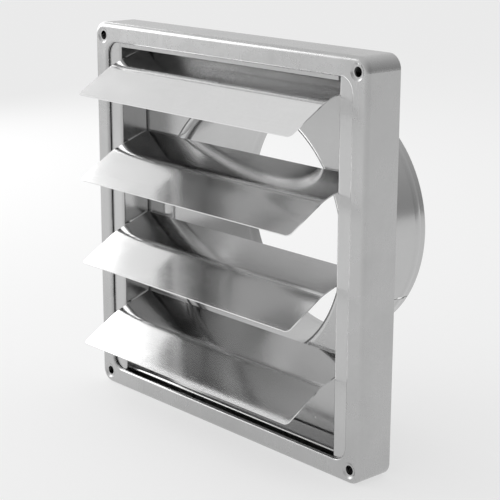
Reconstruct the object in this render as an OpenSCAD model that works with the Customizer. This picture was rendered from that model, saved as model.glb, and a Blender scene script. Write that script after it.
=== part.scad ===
// Gravity flap vent for a 100 mm duct: a square stainless steel cover for an outside wall,
// four hinged flaps that hang closed by their own weight, and a round duct collar behind.
// Units are millimetres and +Z is up. The front looks along -Y and the wall is the plane y = 0.
// The origin is the centre of the four wall screws on that plane.

/* [Cover] */
// Width and height of the square cover
cover_w = 155; // [153:0.5:158]
// Depth of the cover from its front face to the wall
cover_depth = 16; // [15.5:0.5:19]
// Thickness of the sheet of the cover and of the box behind it
sheet_t = 0.6; // [0.5:0.05:0.7]
// Corner radius of the cover, seen from the front
corner_r = 5.5; // [5:0.25:7]
// Rounding between the front face and the side walls
edge_r = 1.8; // [1.4:0.1:1.8]
// Width of the front band around the opening
band_w = 7.8; // [7.4:0.1:8.2]
// Corner radius of the opening
opening_corner_r = 5.5; // [4.5:0.25:6]
// Radius of the roll that turns the edge of the opening inward
roll_r = 1.1; // [0.9:0.05:1.15]
// Distance of the wall screws from the outer edges of the cover
screw_inset = 5.3; // [5.2:0.1:5.5]
// Diameter of the screw holes
screw_hole_d = 3.6; // [3:0.1:4]
// Outer diameter of the dimple pressed around each screw hole
dimple_d = 6.4; // [5.6:0.1:6.6]
// Depth of the dimple
dimple_depth = 0.5; // [0.3:0.05:0.6]

/* [Box behind the opening] */
// Width of the front fold of a cheek that shows inside the opening
cheek_inset = 7.3; // [7:0.1:7.6]
// Outer bend radius of the folds of cheeks and strips
fold_r = 1.2; // [1:0.05:1.4]
// Gap between the folded front edges of the box and the roll of the cover
front_gap = 0.3; // [0.2:0.05:0.4]
// Gap between the edges of the box and the side walls of the cover
wall_gap = 0.6; // [0.4:0.05:0.8]
// Gap between the ends of the strips and the cheeks
strip_gap = 0.3; // [0.2:0.05:0.4]
// Height of the top strip that shows under the upper edge of the opening
top_lip_h = 1.5; // [1.1:0.1:1.9]
// Height of the bottom strip above the lower edge of the opening
ledge_up = 0.8; // [0.1:0.1:0.8]
// Distance of the front of the bottom strip in front of the pivots
ledge_out = 0.5; // [-0.5:0.1:0.5]
// Distance from the screws at which the corners of the cheeks are cut away
screw_clear = 3; // [2.8:0.1:3.2]
// Radial gap between the flare of the collar and the round hole in the rear plate
plate_hole_gap = 0.1; // [0:0.05:0.7]
// Diameter of the screw holes in the rear plate
plate_screw_d = 5.2; // [4.6:0.1:5.6]
// Corner radius of the rear plate
plate_corner_r = 5; // [4.5:0.25:6]
// Width of the rear fold of the top and bottom strips on the plate
rear_fold_w = 5; // [4:0.25:5.5]

/* [Duct collar] */
// Outside diameter of the collar
spigot_d = 99.4; // [98.8:0.1:99.8]
// Distance from the wall to the rear rim of the collar
spigot_len = 47; // [45:0.5:60]
// Height of the collar axis above the middle of the cover
spigot_up = 1.5; // [0.5:0.1:2.5]
// Thickness of the sheet of the collar
spigot_t = 0.5; // [0.4:0.05:0.6]
// Inside radius of the flare between collar and flange
flare_r = 3; // [2.6:0.1:3]
// Width of the flat flange behind the rear plate
flange_w = 6.2; // [4:0.2:8]
// Distance of the middle of the bead from the rear rim
bead_back = 4; // [3:0.25:6]
// Half of the width of the bead
bead_half = 1.6; // [1.2:0.1:1.8]
// Height of the bead over the outside of the collar
bead_h = 0.25; // [0.2:0.05:0.4]
// Direction of the lap seam below the horizontal, seen from the front
seam_angle = 33; // [20:1:60]
// Width of the lap seam in degrees around the collar
lap_angle = 9; // [6:0.5:12]
// Width of the fine step at the outer edge of the lap seam
seam_w = 0.4; // [0.3:0.05:0.8]
// Depth of that step
seam_depth = 0.2; // [0.15:0.05:0.25]
// Height of the slot where the lap seam crosses the bead
slot_w = 1.3; // [1:0.1:1.8]
// Length of that slot along the collar
slot_len = 3.6; // [3.4:0.1:4.5]

/* [Flaps] */
// Distance of the uppermost pivot below the upper edge of the opening
first_drop = 6.75; // [6.5:0.05:6.9]
// How much less room the last flap has below its pivot than the flaps above it
last_short = 5.35; // [5.2:0.05:5.5]
// Distance of the pivots behind the front face of the cover
pivot_back = 5; // [4.8:0.1:5.1]
// Thickness of the flap sheet
flap_t = 0.5; // [0.4:0.05:0.55]
// Gap between the side edges of a flap and the cheeks
flap_side_gap = 1; // [0.6:0.1:1.4]
// Slope of the inner part of a flap below the horizontal, as shown
flap_slope = 19; // [17:0.5:22]
// Angle of the soft bend between the inner and the outer part
flap_bend = 12; // [8:0.5:13]
// Inside radius of the soft bend
flap_bend_r = 20; // [16:0.5:24]
// Gap between the turning lip of a flap and the rear plate
lip_gap = 0.4; // [0.3:0.05:1.2]
// Length of the straight inner part in front of the pivot
inner_len = 7.2; // [6.6:0.1:7.4]
// Length by which a closed flap hangs in front of the lip of the next one
flap_lap = 3.5; // [2.8:0.1:3.6]
// Radius of the free corners
flap_corner_r = 2; // [1:0.25:4]

/* [Hinge rods] */
// Diameter of the hinge rods
rod_d = 1.6; // [1.4:0.05:1.8]
// Radial clearance of a rod in the holes of the cheeks
rod_clear = 0.05; // [0.03:0.005:0.09]
// Length of rod that shows outside each cheek
rod_out = 2; // [1:0.25:3]

/* [Hidden] */
$fn = 48;

cover_half = cover_w / 2;
opening_half = cover_half - band_w;
screw_pitch = cover_w - 2 * screw_inset;
box_half = cover_half - sheet_t - wall_gap;
// Front face of the box folds, counted from the wall
box_front = cover_depth - roll_r - front_gap;
// Front face of the rear plate, counted from the wall
plate_front = spigot_t + sheet_t;
cheek_half = opening_half - cheek_inset;
strip_half = cheek_half - strip_gap;
top_lip_z = opening_half - top_lip_h;
bottom_ledge_z = opening_half - ledge_up;
corner_cut = screw_pitch / 2 - screw_clear;
spigot_r = spigot_d / 2;
plate_hole_d = spigot_d + 2 * (flare_r + plate_hole_gap);
bead_y = spigot_len - bead_back;
flap_half = cheek_half - flap_side_gap;
// The rod lies under the flap, so the middle of the sheet is this far above the pivot
rod_under = rod_d / 2 + flap_t / 2;
rod_half = cheek_half + sheet_t + rod_out;
// The four flaps share the height of the opening
flap_pitch = (2 * opening_half - first_drop + last_short) / 4;
first_pivot_z = opening_half - first_drop;
// Pivots and the bottom strip's front, counted from the wall
pivot_y = cover_depth - pivot_back;
bottom_ledge_y = pivot_y + ledge_out;
// The lip is as long as the gap to the rear plate lets it turn
lip_reach = pivot_y - plate_front - lip_gap;
lip_high = rod_under + flap_t / 2;
lip_len = sqrt(lip_reach * lip_reach - lip_high * lip_high);
// What is left for the outer part once lip, inner part and bend are laid out along the pitch
bend_len = (flap_bend_r + flap_t / 2) * flap_bend * PI / 180;
outer_len = flap_pitch + flap_lap - lip_len - inner_len - bend_len;
// The bead is part of a circle through its two feet and its top
bead_rad = (bead_half * bead_half + bead_h * bead_h) / (2 * bead_h);
// The straight parts of the collar reach this far into the bead, so that they join it
bead_join = 0.05;

steel = [0.72, 0.73, 0.74];
bright_steel = [0.82, 0.83, 0.84];
dull_steel = [0.6, 0.61, 0.62];

// Turns a shape drawn on the floor, so that its own +Z runs from the front towards the wall
module facing(front) {
    translate([0, -front, 0])
        rotate([-90, 0, 0])
            children();
}

module rounded_square(half, r) {
    square([2 * half, 2 * (half - r)], center = true);
    square([2 * (half - r), 2 * half], center = true);
    for (sx = [-1, 1])
        for (sy = [-1, 1])
            translate([sx * (half - r), sy * (half - r)])
                circle(r);
}

// Carries a folded profile around a rounded square
module around_square(half, r) {
    for (turn = [0:3])
        rotate([0, 0, 90 * turn]) {
            translate([half - r, half - r, 0])
                rotate_extrude(angle = 90)
                    children();
            translate([half - r, half - r, 0])
                rotate([90, 0, 0])
                    linear_extrude(height = 2 * (half - r))
                        children();
        }
}

// A quarter of a bent sheet in the quadrant given by the two signs, centred on the bend axis
module quarter_bend(outer, thick, sx, sy) {
    intersection() {
        difference() {
            circle(outer);
            circle(outer - thick);
        }
        translate([sx > 0 ? 0 : -outer - 1, sy > 0 ? 0 : -outer - 1])
            square([outer + 1, outer + 1]);
    }
}

// Front cover: a pressed frame with a rounded outer edge and a rolled opening edge
module front_cover() {
    color(steel)
        facing(cover_depth)
            difference() {
                union() {
                    linear_extrude(height = sheet_t)
                        difference() {
                            rounded_square(cover_half - edge_r, corner_r - edge_r);
                            rounded_square(opening_half + roll_r, opening_corner_r + roll_r);
                        }
                    around_square(cover_half, corner_r) {
                        union() {
                            translate([corner_r - edge_r, edge_r])
                                quarter_bend(edge_r, sheet_t, 1, -1);
                            translate([corner_r - sheet_t, edge_r])
                                square([sheet_t, cover_depth - edge_r]);
                        }
                    }
                    around_square(opening_half, opening_corner_r) {
                        translate([opening_corner_r + roll_r, roll_r])
                            quarter_bend(roll_r, sheet_t, -1, -1);
                    }
                    for (sx = [-1, 1])
                        for (sy = [-1, 1])
                            translate([sx * screw_pitch / 2, sy * screw_pitch / 2, 0])
                                cylinder(h = dimple_depth + sheet_t, d1 = dimple_d + 0.4, d2 = dimple_d - 1);
                }
                for (sx = [-1, 1])
                    for (sy = [-1, 1])
                        translate([sx * screw_pitch / 2, sy * screw_pitch / 2, 0]) {
                            translate([0, 0, -1])
                                cylinder(h = cover_depth, d = screw_hole_d);
                            cylinder(h = dimple_depth, d1 = dimple_d, d2 = dimple_d - 1.6);
                        }
            }
}

// Rear plate: the flat back of the box with the round hole for the collar
module rear_plate() {
    color(dull_steel)
        facing(plate_front)
            difference() {
                linear_extrude(height = sheet_t)
                    rounded_square(box_half, plate_corner_r);
                translate([0, -spigot_up, -1])
                    cylinder(h = 3, d = plate_hole_d, $fn = 96);
                for (sx = [-1, 1])
                    for (sy = [-1, 1])
                        translate([sx * screw_pitch / 2, sy * screw_pitch / 2, -1])
                            cylinder(h = 3, d = plate_screw_d);
            }
}

// Cross-section of a cheek, drawn for the right side with x outward and y away from the wall
module cheek_section() {
    translate([fold_r, box_front - fold_r])
        quarter_bend(fold_r, sheet_t, -1, 1);
    translate([fold_r, box_front - sheet_t])
        square([box_half - cheek_half - fold_r, sheet_t]);
    translate([0, plate_front + fold_r])
        square([sheet_t, box_front - plate_front - 2 * fold_r]);
    translate([fold_r, plate_front + fold_r])
        quarter_bend(fold_r, sheet_t, -1, -1);
    translate([fold_r, plate_front])
        square([corner_cut - cheek_half - fold_r, sheet_t]);
}

// Right cheek: a folded strip that carries one end of each hinge rod
module cheek() {
    difference() {
        translate([cheek_half, 0, -box_half])
            mirror([0, 1, 0])
                linear_extrude(height = 2 * box_half)
                    cheek_section();
        for (sz = [-1, 1])
            translate([corner_cut, -cover_depth, sz > 0 ? corner_cut : -box_half - 1])
                cube([20, cover_depth - 3, box_half + 1 - corner_cut]);
        for (i = [0:3])
            translate([cheek_half - 1, -pivot_y, first_pivot_z - i * flap_pitch])
                rotate([0, 90, 0])
                    cylinder(h = sheet_t + 2, r = rod_d / 2 + rod_clear);
    }
}

module right_cheek() {
    color(dull_steel)
        cheek();
}

module left_cheek() {
    color(dull_steel)
        mirror([1, 0, 0])
            cheek();
}

// Cross-section of a strip with a front fold, a web and a rear fold, x away from the wall and y outward
module strip_section(front, inner_edge, web_top, rear_edge) {
    translate([front - sheet_t, inner_edge])
        square([sheet_t, web_top - fold_r - inner_edge]);
    translate([front - fold_r, web_top - fold_r])
        quarter_bend(fold_r, sheet_t, 1, 1);
    translate([plate_front + fold_r, web_top - sheet_t])
        square([front - plate_front - 2 * fold_r, sheet_t]);
    translate([plate_front + fold_r, web_top - fold_r])
        quarter_bend(fold_r, sheet_t, -1, 1);
    translate([plate_front, rear_edge])
        square([sheet_t, web_top - fold_r - rear_edge]);
}

// Top strip: closes the box above the first flap, its front fold shows under the edge of the cover
module top_strip() {
    color(steel)
        translate([strip_half, 0, 0])
            rotate([90, 0, -90])
                linear_extrude(height = 2 * strip_half)
                    strip_section(box_front, top_lip_z, box_half, box_half - rear_fold_w);
}

// Bottom strip: the ledge under the fourth flap, which closes in front of it
module bottom_strip() {
    color(dull_steel)
        translate([strip_half, 0, 0])
            rotate([90, 0, -90])
                linear_extrude(height = 2 * strip_half)
                    strip_section(bottom_ledge_y, -box_half, -bottom_ledge_z, -bottom_ledge_z - rear_fold_w);
}

// Duct collar: a rolled tube with a lap seam, flared into a flange at the front, beaded near the rear rim
module spigot() {
    color(bright_steel)
        translate([0, 0, spigot_up])
            difference() {
                union() {
                    rotate([-90, 0, 0])
                        rotate_extrude($fn = 96)
                            spigot_section();
                    rotate([-90, 0, 0])
                        rotate([0, 0, seam_angle])
                            rotate_extrude(angle = lap_angle, $fn = 96)
                                translate([spigot_r - 2 * spigot_t, flare_r + 2])
                                    square([spigot_t * 1.5, bead_y - bead_half - flare_r - 3]);
                }
                rotate([0, seam_angle, 0]) {
                    translate([spigot_r - 3, bead_y - bead_half - bead_join, -slot_w / 2])
                        cube([6, slot_len, slot_w]);
                    translate([spigot_r - seam_depth, flare_r + 2, -seam_w / 2])
                        cube([3, spigot_len, seam_w]);
                }
            }
}

module spigot_section() {
    translate([spigot_r + flare_r, flare_r])
        quarter_bend(flare_r + spigot_t, spigot_t, -1, -1);
    translate([spigot_r + flare_r, -spigot_t])
        square([flange_w, spigot_t]);
    translate([spigot_r - spigot_t, flare_r])
        square([spigot_t, bead_y - bead_half - flare_r + bead_join]);
    translate([spigot_r - spigot_t, bead_y + bead_half - bead_join])
        square([spigot_t, spigot_len - bead_y - bead_half + bead_join]);
    difference() {
        intersection() {
            translate([spigot_r + bead_h - bead_rad, bead_y])
                circle(bead_rad);
            translate([spigot_r - spigot_t, bead_y - bead_half])
                square([spigot_t + bead_h + 1, 2 * bead_half]);
        }
        translate([spigot_r - spigot_t + bead_h - bead_rad, bead_y])
            circle(bead_rad);
    }
}

// One flap about its pivot: a sheet folded along its side view, with its two free corners rounded
module flap(i) {
    color(bright_steel)
        translate([0, -pivot_y, first_pivot_z - i * flap_pitch])
            rotate([flap_slope, 0, 0])
                translate([0, 0, rod_under - flap_t / 2])
                    difference() {
                        translate([-flap_half, 0, 0])
                            rotate([90, 0, 90])
                                linear_extrude(height = 2 * flap_half)
                                    flap_side();
                        translate([0, -inner_len, -flap_bend_r])
                            rotate([flap_bend, 0, 0])
                                translate([0, -outer_len, flap_bend_r - 2])
                                    for (sx = [-1, 1])
                                        scale([sx, 1, 1])
                                            free_corner();
                    }
}

// Side view of a flap, x away from the room side and y upward: lip, inner part, soft bend, outer part
module flap_side() {
    steps = 6;
    top_r = flap_bend_r + flap_t;
    polygon(concat(
        [[lip_len, 0], [lip_len, flap_t]],
        [for (k = [0:steps]) let (a = k * flap_bend / steps)
            [-inner_len - top_r * sin(a), top_r * cos(a) - flap_bend_r]],
        [[-inner_len - top_r * sin(flap_bend) - outer_len * cos(flap_bend),
            top_r * cos(flap_bend) - flap_bend_r - outer_len * sin(flap_bend)],
        [-inner_len - flap_bend_r * sin(flap_bend) - outer_len * cos(flap_bend),
            flap_bend_r * cos(flap_bend) - flap_bend_r - outer_len * sin(flap_bend)]],
        [for (k = [0:steps]) let (a = (steps - k) * flap_bend / steps)
            [-inner_len - flap_bend_r * sin(a), flap_bend_r * cos(a) - flap_bend_r]]));
}

// What is cut away outside the rounded right corner of a free edge
module free_corner() {
    linear_extrude(height = flap_t + 4)
        difference() {
            translate([flap_half - flap_corner_r, -1])
                square([flap_corner_r + 1, flap_corner_r + 1]);
            translate([flap_half - flap_corner_r + 0.02, flap_corner_r - 0.02])
                circle(flap_corner_r);
        }
}

module flap_1() {
    flap(0);
}

module flap_2() {
    flap(1);
}

module flap_3() {
    flap(2);
}

module flap_4() {
    flap(3);
}

// One hinge rod, welded under its flap and turning in the holes of both cheeks
module hinge_rod(i) {
    color(steel)
        translate([-rod_half, -pivot_y, first_pivot_z - i * flap_pitch])
            rotate([0, 90, 0])
                cylinder(h = 2 * rod_half, d = rod_d);
}

module hinge_rod_1() {
    hinge_rod(0);
}

module hinge_rod_2() {
    hinge_rod(1);
}

module hinge_rod_3() {
    hinge_rod(2);
}

module hinge_rod_4() {
    hinge_rod(3);
}

front_cover();
rear_plate();
left_cheek();
right_cheek();
top_strip();
bottom_strip();
spigot();
flap_1();
flap_2();
flap_3();
flap_4();
hinge_rod_1();
hinge_rod_2();
hinge_rod_3();
hinge_rod_4();
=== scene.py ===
"""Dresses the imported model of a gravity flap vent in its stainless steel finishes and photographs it.

The sections follow the vent as it is put together: rear plate, duct collar, cheeks, strips, cover, flaps.
All lengths are metres in the model's own frame: the front looks along -Y, the wall is the plane y = 0.
"""
import math
import bpy
from mathutils import Matrix, Vector


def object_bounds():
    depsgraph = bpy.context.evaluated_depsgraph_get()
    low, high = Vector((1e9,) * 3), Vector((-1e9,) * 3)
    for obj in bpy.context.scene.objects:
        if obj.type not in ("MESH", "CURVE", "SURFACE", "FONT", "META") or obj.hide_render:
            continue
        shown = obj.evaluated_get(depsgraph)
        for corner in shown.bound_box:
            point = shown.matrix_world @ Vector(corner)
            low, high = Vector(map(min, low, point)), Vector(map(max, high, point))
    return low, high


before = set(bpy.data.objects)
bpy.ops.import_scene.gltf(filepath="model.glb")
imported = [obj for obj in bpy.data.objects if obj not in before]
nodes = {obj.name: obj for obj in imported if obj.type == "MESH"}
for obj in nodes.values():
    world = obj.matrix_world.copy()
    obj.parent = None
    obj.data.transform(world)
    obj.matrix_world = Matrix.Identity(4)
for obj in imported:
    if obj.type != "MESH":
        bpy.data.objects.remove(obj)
cad_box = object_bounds()

# Camera.
# The photograph was taken from the right, a little above the vent, with a short telephoto lens.
# Place, turn and lens were solved from the corners of the square cover.
camera_data = bpy.data.cameras.new("photo_camera")
camera_data.sensor_width = 36.0
camera_data.lens = 105.17
camera_data.clip_start, camera_data.clip_end = 0.02, 20.0
camera = bpy.data.objects.new("photo_camera", camera_data)
camera_place = Vector((0.414288, -0.369152, 0.139656))
camera_right = Vector((0.665046, 0.746796, 0.003188))
camera_up = Vector((-0.192700, 0.167479, 0.966860))
camera_back = Vector((0.721513, -0.643620, 0.255289))
turn = Matrix((camera_right, camera_up, camera_back)).transposed().to_4x4()
camera.matrix_world = Matrix.Translation(camera_place) @ turn
bpy.context.scene.collection.objects.link(camera)
bpy.context.scene.camera = camera


# Rear plate.
# The flat back of the box, cut from 0.6 mm stainless sheet with the mill's dull, cold-rolled surface.
# The round hole is punched. It carries the collar behind it and the folded cheeks in front of it.
class Wire:
    """One output of a shader node. Sums and products of wires add the Math nodes they need."""

    def __init__(self, tree, socket=None):
        self.tree = tree
        self.socket = socket

    def add(self, kind, inputs=None, out=0, stops=None, **settings):
        """Adds a node with these settings, ramp stops and inputs, and returns one of its outputs."""
        node = self.tree.nodes.new(kind)
        for name, value in settings.items():
            setattr(node, name, value)
        if stops:
            ramp = node.color_ramp.elements
            while len(ramp) < len(stops):
                ramp.new(1.0)
            for stop, (place, grey) in zip(ramp, stops):
                stop.position = place
                stop.color = (grey, grey, grey, 1.0)
        for name, value in (inputs or {}).items():
            socket = self.find(node.inputs, name)
            if isinstance(value, Wire):
                self.tree.links.new(value.socket, socket)
            else:
                socket.default_value = value
        return Wire(self.tree, self.find(node.outputs, out))

    @staticmethod
    def find(sockets, name):
        """The socket with that number, or the one of that name that the node's settings have switched on."""
        if isinstance(name, int):
            return sockets[name] if len(sockets) > name else None
        return next(socket for socket in sockets if socket.enabled and socket.name == name)

    def math(self, operation, a, b):
        return self.add("ShaderNodeMath", {0: a, 1: b}, operation=operation)

    def __add__(self, other):
        return self.math("ADD", self, other)

    def __sub__(self, other):
        return self.math("SUBTRACT", self, other)

    def __rsub__(self, other):
        return self.math("SUBTRACT", other, self)

    def __mul__(self, other):
        return self.math("MULTIPLY", self, other)

    __radd__ = __add__
    __rmul__ = __mul__


def steel(name, colour, roughness, along, mottle=0.05, grain=0.05, waves=0.25, wave_size=0.03):
    """Stainless sheet: rolling grain along one axis, soft mottling, smudges and slightly uneven flatness."""
    material = bpy.data.materials.new(name)
    material.use_nodes = True
    tree = material.node_tree
    shader = tree.nodes["Principled BSDF"]
    shader.inputs["Metallic"].default_value = 1.0
    start = Wire(tree)
    place = start.add("ShaderNodeTexCoord", out="Object")

    def noise(size, stretch=(1.0, 1.0, 1.0), detail=3.0, distort=0.0):
        scaled = start.add("ShaderNodeVectorMath", {0: place, 1: stretch}, operation="MULTIPLY")
        return start.add("ShaderNodeTexNoise", {"Vector": scaled, "Scale": 1.0 / size,
                         "Detail": detail, "Roughness": 0.55, "Distortion": distort})

    across = tuple(1.0 if axis == along else 45.0 for axis in "XYZ")
    lines = noise(0.030, across, 4.0)
    cloud = noise(0.022, detail=4.0, distort=0.6)
    specks = noise(0.0016, detail=2.0)
    smudge = start.add("ShaderNodeValToRGB", {"Fac": noise(0.035, detail=5.0, distort=1.4)},
                       stops=[(0.50, 0.0), (0.68, 1.0)])
    tone = 1.0 + (cloud - 0.5) * (mottle * 2.2) + (lines - 0.5) * grain + (specks - 0.5) * 0.05
    bright = start.add("ShaderNodeMix", {"Factor": 1.0, "A": (*colour, 1.0), "B": tone},
                       out="Result", data_type="RGBA", blend_type="MULTIPLY")
    rough = roughness + (cloud - 0.5) * (mottle * 1.2) + (lines - 0.5) * (grain * 0.8) + smudge * (mottle * 0.9)
    height = noise(wave_size, detail=1.0) * (waves * 0.5) + lines * (grain * 0.02) + specks * 0.004
    normal = start.add("ShaderNodeBump", {"Height": height, "Distance": 0.001, "Strength": 1.0})
    tree.links.new(bright.socket, shader.inputs["Base Color"])
    tree.links.new(rough.socket, shader.inputs["Roughness"])
    tree.links.new(normal.socket, shader.inputs["Normal"])
    return material


def finish_with(material, *names):
    """Gives a material to pieces that keep the shape of the model."""
    for name in names:
        slots = nodes[name].data.materials
        slots.clear()
        slots.append(material)


plate_steel = steel("plate_steel", (0.50, 0.50, 0.50), 0.24, "X", mottle=0.06)
finish_with(plate_steel, "rear_plate")

# Duct collar.
# A strip of 0.5 mm sheet, rolled into a tube with a lap seam, flared to a flange and beaded near its end.
# Rolling leaves fine lines around it. The flange is spot welded behind the rear plate.
collar_steel = steel("collar_steel", (0.56, 0.56, 0.56), 0.22, "X", mottle=0.05, waves=0.2)
finish_with(collar_steel, "spigot")

# Cheeks.
# Two folded strips, one at each side, spot welded to the rear plate.
# Their front folds show inside the cover's opening and their webs hold the hinge rods.
cheek_steel = steel("cheek_steel", (0.56, 0.56, 0.56), 0.20, "Z", mottle=0.06, grain=0.07)
finish_with(cheek_steel, "left_cheek", "right_cheek")

# Top and bottom strips.
# Folded strips of the same sheet between the cheeks: the top one shows as a thin lip under the cover's
# edge, the bottom one is the ledge that the lowest flap closes against.
strip_steel = steel("strip_steel", (0.50, 0.50, 0.50), 0.22, "X", mottle=0.06)
finish_with(strip_steel, "top_strip", "bottom_strip")

# Front cover.
# Pressed from one sheet: rounded outer edge, rolled opening edge and a dimpled screw hole in each corner.
# The sheet has a soft sheen, a little clouded by the pressing.
cover_steel = steel("cover_steel", (0.52, 0.52, 0.52), 0.26, "Z", mottle=0.09, grain=0.06, waves=0.35,
                    wave_size=0.018)
finish_with(cover_steel, "front_cover")

# Flaps and hinge rods.
# Each flap is bright annealed sheet, gently bent and almost a mirror, with its free corners rounded.
# It is spot welded to a drawn wire, whose ends turn in the cheeks.
flap_steel = steel("flap_steel", (0.80, 0.80, 0.80), 0.12, "X", mottle=0.035, grain=0.05, waves=0.25,
                   wave_size=0.04)
rod_steel = steel("rod_steel", (0.45, 0.45, 0.45), 0.30, "X")
for number in (1, 2, 3, 4):
    finish_with(flap_steel, f"flap_{number}")
    finish_with(rod_steel, f"hinge_rod_{number}")

# Studio.
# A white floor just under the vent, and a softbox high on the left that the flaps mirror.
# The room is bright on the side of the softbox and dimmer on the other.
floor_z = cad_box[0].z
floor_half = 6.0
corners = [(-floor_half, -floor_half, floor_z), (floor_half, -floor_half, floor_z),
           (floor_half, floor_half, floor_z), (-floor_half, floor_half, floor_z)]
floor_mesh = bpy.data.meshes.new("floor")
floor_mesh.from_pydata(corners, [], [(0, 1, 2, 3)])
floor = bpy.data.objects.new("floor", floor_mesh)
bpy.context.scene.collection.objects.link(floor)

floor_paint = bpy.data.materials.new("floor_paint")
floor_paint.use_nodes = True
floor_tree = floor_paint.node_tree
floor_tree.nodes.clear()
paint = Wire(floor_tree)
ray = [paint.add("ShaderNodeLightPath", out=f"Is {kind} Ray") for kind in ("Camera", "Glossy", "Transmission")]
seen = paint.add("ShaderNodeClamp", {"Value": ray[0] + ray[1] + ray[2]})
shaded = paint.add("ShaderNodeBsdfDiffuse", {"Color": (0.85, 0.85, 0.85, 1.0)})
white = paint.add("ShaderNodeEmission", {"Color": (1.0, 1.0, 1.0, 1.0), "Strength": 1.0})
surface = paint.add("ShaderNodeMixShader", {0: seen * 0.6, 1: shaded, 2: white})
paint.add("ShaderNodeOutputMaterial", {"Surface": surface})
floor_mesh.materials.append(floor_paint)

world = bpy.data.worlds.new("room")
world.use_nodes = True
world.node_tree.nodes.clear()
room = Wire(world.node_tree)
direction = room.add("ShaderNodeTexCoord", out="Generated")
towards_light = (-0.80, -0.05, 0.60)
side = room.add("ShaderNodeVectorMath", {0: direction, 1: towards_light}, out="Value", operation="DOT_PRODUCT")
light = room.add("ShaderNodeValToRGB", {"Fac": side * 0.5 + 0.5},
                 stops=[(0.15, 0.30), (0.55, 0.55), (0.85, 0.80)])
camera_ray = room.add("ShaderNodeLightPath", out="Is Camera Ray")
glow = room.add("ShaderNodeMix", {"Factor": camera_ray, "A": light, "B": (1.0, 1.0, 1.0, 1.0)},
                out="Result", data_type="RGBA")
sky = room.add("ShaderNodeBackground", {"Color": glow, "Strength": 1.0})
room.add("ShaderNodeOutputWorld", {"Surface": sky})
bpy.context.scene.world = world


def softbox(name, place, aim, size, power):
    """A large flat lamp at a place, turned towards a point."""
    lamp = bpy.data.lights.new(name, "AREA")
    lamp.shape = "RECTANGLE"
    lamp.size, lamp.size_y = size
    lamp.energy = power
    holder = bpy.data.objects.new(name, lamp)
    holder.location = place
    holder.rotation_mode = "QUATERNION"
    holder.rotation_quaternion = (Vector(aim) - Vector(place)).to_track_quat("-Z", "Y")
    bpy.context.scene.collection.objects.link(holder)
    return holder


softbox("left_softbox", (-0.60, -0.10, 0.22), (0.0, 0.0, 0.0), (0.9, 0.35), 2.2)
bpy.context.scene.view_settings.view_transform = "Standard"
